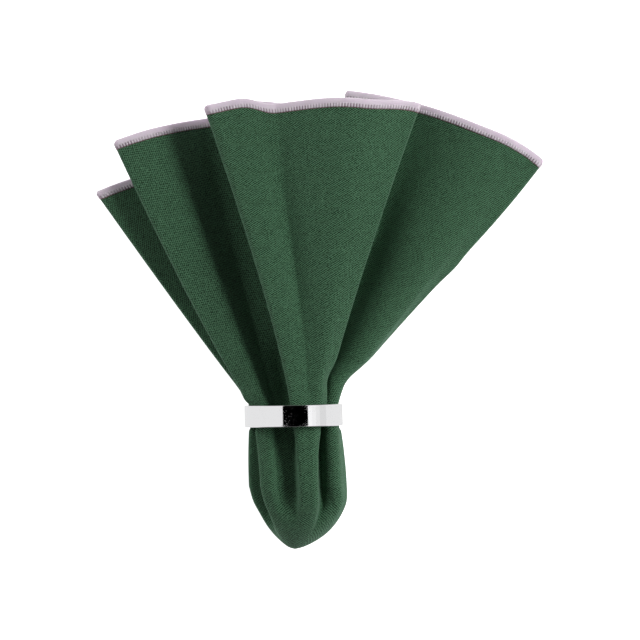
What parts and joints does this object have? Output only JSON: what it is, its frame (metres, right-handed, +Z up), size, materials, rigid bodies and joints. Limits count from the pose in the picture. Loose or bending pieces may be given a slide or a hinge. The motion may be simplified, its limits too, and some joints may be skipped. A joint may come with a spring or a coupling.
{
  "type": "cloth napkin in a ring",
  "caption": "Round cloth napkin pinched at its middle and drawn through a narrow polished ring, its free end spread flat in a fan of folds with an overlocked edge.",
  "frame": {"origin": "on the table, under the middle of the whole object's box", "axes": "+Z up from the table, +Y from the ring to the open end of the fan, +X to the right as pictured"},
  "size_m": [0.21, 0.2154, 0.0495],
  "materials": {
    "cloth": "matt plain weave, dark green",
    "thread": "matt overlock thread, pale lilac",
    "metal": "polished to a mirror"
  },
  "bodies": {
    "root": {"napkin": "cloth", "edging": "thread", "ring": "metal"}
  },
  "joints": []
}
